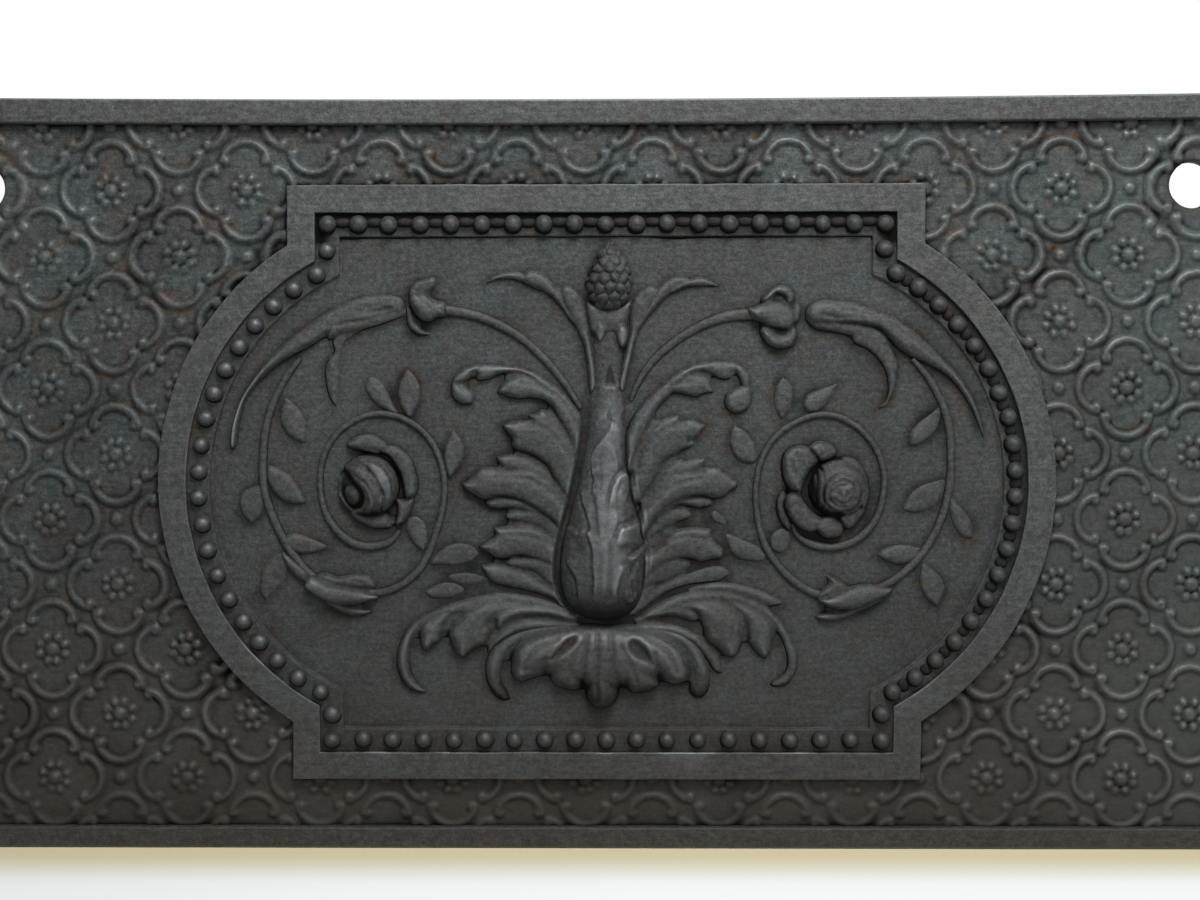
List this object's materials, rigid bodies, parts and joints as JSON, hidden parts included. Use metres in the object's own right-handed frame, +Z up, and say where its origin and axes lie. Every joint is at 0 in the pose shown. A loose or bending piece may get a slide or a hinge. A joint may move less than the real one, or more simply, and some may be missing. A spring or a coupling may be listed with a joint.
{
  "type": "fireplace insert panel",
  "caption": "Upright cast iron fireplace insert panel: diaper ground, bead-edged cartouche with baluster, roses and acanthus in relief, rimmed front, flanged back and hanging holes.",
  "frame": {"origin": "centre of the bounding box in plan, at the bottom edge that the panel stands on", "axes": "+X along the panel's width to the viewer's right, -Y out of the decorated face towards the viewer, +Z up"},
  "size_m": [0.69, 0.0481, 0.3755],
  "materials": {
    "ground_iron": "sand-cast iron, dark brown-grey patina with rust in the recesses",
    "frame_iron": "sand-cast iron, smoother flat band, worn edges",
    "bead_iron": "cast iron beads, rubbed bright on top",
    "ornament_iron": "cast iron ornament, satin, worn high spots and dark recesses",
    "fastener_steel": "dulled steel with a brown oxide film"
  },
  "bodies": {
    "root": {"ground_plate": "ground_iron", "diaper_scrolls": "ground_iron", "diaper_rosettes": "ground_iron", "diaper_pearls": "ground_iron", "cartouche_frame": "frame_iron", "cartouche_panel": "frame_iron", "beads_top": "bead_iron", "beads_bottom": "bead_iron", "beads_left": "bead_iron", "beads_right": "bead_iron", "baluster": "ornament_iron", "pine_cone": "ornament_iron", "collar_leaves": "ornament_iron", "sprig_left": "ornament_iron", "sprig_right": "ornament_iron", "crook_left": "ornament_iron", "crook_right": "ornament_iron", "knot_left": "ornament_iron", "knot_right": "ornament_iron", "husk_left": "ornament_iron", "husk_right": "ornament_iron", "stem_left": "ornament_iron", "stem_right": "ornament_iron", "rose_left": "ornament_iron", "rose_right": "ornament_iron", "bud_left": "ornament_iron", "bud_right": "ornament_iron", "leaves_left": "ornament_iron", "leaves_right": "ornament_iron", "acanthus_left": "ornament_iron", "acanthus_right": "ornament_iron", "droop_left": "ornament_iron", "droop_right": "ornament_iron", "palmette": "ornament_iron", "frame_studs": "fastener_steel", "ornament_studs": "fastener_steel", "washers": "fastener_steel", "nuts": "fastener_steel"}
  },
  "joints": []
}
